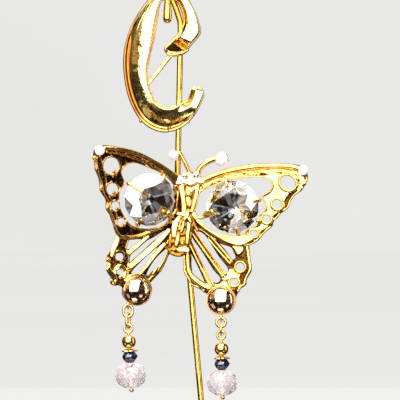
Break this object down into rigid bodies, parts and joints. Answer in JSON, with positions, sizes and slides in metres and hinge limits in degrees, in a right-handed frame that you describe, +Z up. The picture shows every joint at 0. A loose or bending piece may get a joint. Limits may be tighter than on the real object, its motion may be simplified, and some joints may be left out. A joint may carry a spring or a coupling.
{
  "type": "decorative hair pin",
  "caption": "Long gold stick pin with a hooked top, an open hollow crescent scroll and a jewelled filigree butterfly with two hanging bead drops.",
  "frame": {"origin": "on the axis of the straight round shank, 33.6 mm below the top of the shank", "axes": "+Z up along the pin towards the hooked top, +X to the right of the display face, -Y out of the display face towards the viewer"},
  "size_m": [0.0426, 0.0114, 0.1323],
  "materials": {
    "gold_plate": "polished gold plating over cast metal",
    "scroll_gold": "bright polished gold plating, lightly dulled",
    "pin_gold": "worn gold plating",
    "chain_gold": "bright gold plating",
    "bronze_dome": "mirror polished bronze",
    "crystal": "clear faceted",
    "small_stone": "clear faceted, violet fringe",
    "white_bead": "pearl gloss",
    "dark_glass": "dark navy faceted glass",
    "pink_glass": "pale pink faceted glass"
  },
  "bodies": {
    "pin": {"pin_stem": "pin_gold", "crescent_back_plate": "scroll_gold", "crescent_shell": "scroll_gold", "crescent_brace": "scroll_gold", "left_upper_wing": "gold_plate", "right_upper_wing": "gold_plate", "left_lower_wing": "gold_plate", "right_lower_wing": "gold_plate", "butterfly_body": "gold_plate", "solder_joint": "gold_plate", "thorax_bead": "white_bead", "abdomen_bead": "gold_plate", "left_antenna": "gold_plate", "right_antenna": "gold_plate", "left_antenna_cup": "gold_plate", "right_antenna_cup": "gold_plate", "left_antenna_stone": "small_stone", "right_antenna_stone": "small_stone", "left_wing_tip_bead": "white_bead", "right_wing_tip_bead": "white_bead", "left_crystal": "crystal", "right_crystal": "crystal", "left_crystal_setting": "gold_plate", "right_crystal_setting": "gold_plate", "left_dome_cup": "gold_plate", "right_dome_cup": "gold_plate", "left_dome": "bronze_dome", "right_dome": "bronze_dome", "left_lug": "gold_plate", "right_lug": "gold_plate"},
    "left_jump_ring": {"left_jump_ring": "chain_gold"},
    "left_oval_link": {"left_oval_link": "chain_gold"},
    "left_head_pin": {"left_head_pin": "chain_gold"},
    "left_gold_bead": {"left_gold_bead": "gold_plate"},
    "left_bead_cap": {"left_bead_cap": "gold_plate"},
    "left_dark_bead": {"left_dark_bead": "dark_glass"},
    "left_pink_bead": {"left_pink_bead": "pink_glass"},
    "right_jump_ring": {"right_jump_ring": "chain_gold"},
    "right_oval_link": {"right_oval_link": "chain_gold"},
    "right_head_pin": {"right_head_pin": "chain_gold"},
    "right_gold_bead": {"right_gold_bead": "gold_plate"},
    "right_bead_cap": {"right_bead_cap": "gold_plate"},
    "right_dark_bead": {"right_dark_bead": "dark_glass"},
    "right_pink_bead": {"right_pink_bead": "pink_glass"}
  },
  "joints": [
    {"name": "left_ring_swing", "type": "hinge", "parent": "pin", "child": "left_jump_ring", "pos_m": [-0.01507, -0.00513, 0.02508], "axis": [-1, 0, 0], "range_deg": [-10, 35]},
    {"name": "left_link_swing", "type": "hinge", "parent": "left_jump_ring", "child": "left_oval_link", "pos_m": [-0.01507, -0.00513, 0.02341], "axis": [0.4226, 0.9063, 0], "range_deg": [-15, 15]},
    {"name": "left_drop_swing", "type": "hinge", "parent": "left_oval_link", "child": "left_head_pin", "pos_m": [-0.01507, -0.00513, 0.02119], "axis": [-1, 0, 0], "range_deg": [-15, 25]},
    {"name": "left_gold_bead_spin", "type": "hinge", "parent": "left_head_pin", "child": "left_gold_bead", "pos_m": [-0.01507, -0.00513, 0.02119], "axis": [0.0523, 0, -0.9986], "continuous": true},
    {"name": "left_bead_cap_spin", "type": "hinge", "parent": "left_head_pin", "child": "left_bead_cap", "pos_m": [-0.01507, -0.00513, 0.02119], "axis": [0.0523, 0, -0.9986], "continuous": true},
    {"name": "left_dark_bead_spin", "type": "hinge", "parent": "left_head_pin", "child": "left_dark_bead", "pos_m": [-0.01507, -0.00513, 0.02119], "axis": [0.0523, 0, -0.9986], "continuous": true},
    {"name": "left_pink_bead_spin", "type": "hinge", "parent": "left_head_pin", "child": "left_pink_bead", "pos_m": [-0.01507, -0.00513, 0.02119], "axis": [0.0523, 0, -0.9986], "continuous": true},
    {"name": "right_ring_swing", "type": "hinge", "parent": "pin", "child": "right_jump_ring", "pos_m": [0.00343, -0.0046, 0.02254], "axis": [-1, 0, 0], "range_deg": [-10, 35]},
    {"name": "right_link_swing", "type": "hinge", "parent": "right_jump_ring", "child": "right_oval_link", "pos_m": [0.00343, -0.0046, 0.02141], "axis": [0, 1, 0], "range_deg": [-25, 25]},
    {"name": "right_drop_swing", "type": "hinge", "parent": "right_oval_link", "child": "right_head_pin", "pos_m": [0.00343, -0.0046, 0.01985], "axis": [-1, 0, 0], "range_deg": [-15, 25]},
    {"name": "right_gold_bead_spin", "type": "hinge", "parent": "right_head_pin", "child": "right_gold_bead", "pos_m": [0.00343, -0.0046, 0.01985], "axis": [0.0262, 0, -0.9997], "continuous": true},
    {"name": "right_bead_cap_spin", "type": "hinge", "parent": "right_head_pin", "child": "right_bead_cap", "pos_m": [0.00343, -0.0046, 0.01985], "axis": [0.0262, 0, -0.9997], "continuous": true},
    {"name": "right_dark_bead_spin", "type": "hinge", "parent": "right_head_pin", "child": "right_dark_bead", "pos_m": [0.00343, -0.0046, 0.01985], "axis": [0.0262, 0, -0.9997], "continuous": true},
    {"name": "right_pink_bead_spin", "type": "hinge", "parent": "right_head_pin", "child": "right_pink_bead", "pos_m": [0.00343, -0.0046, 0.01985], "axis": [0.0262, 0, -0.9997], "continuous": true}
  ]
}
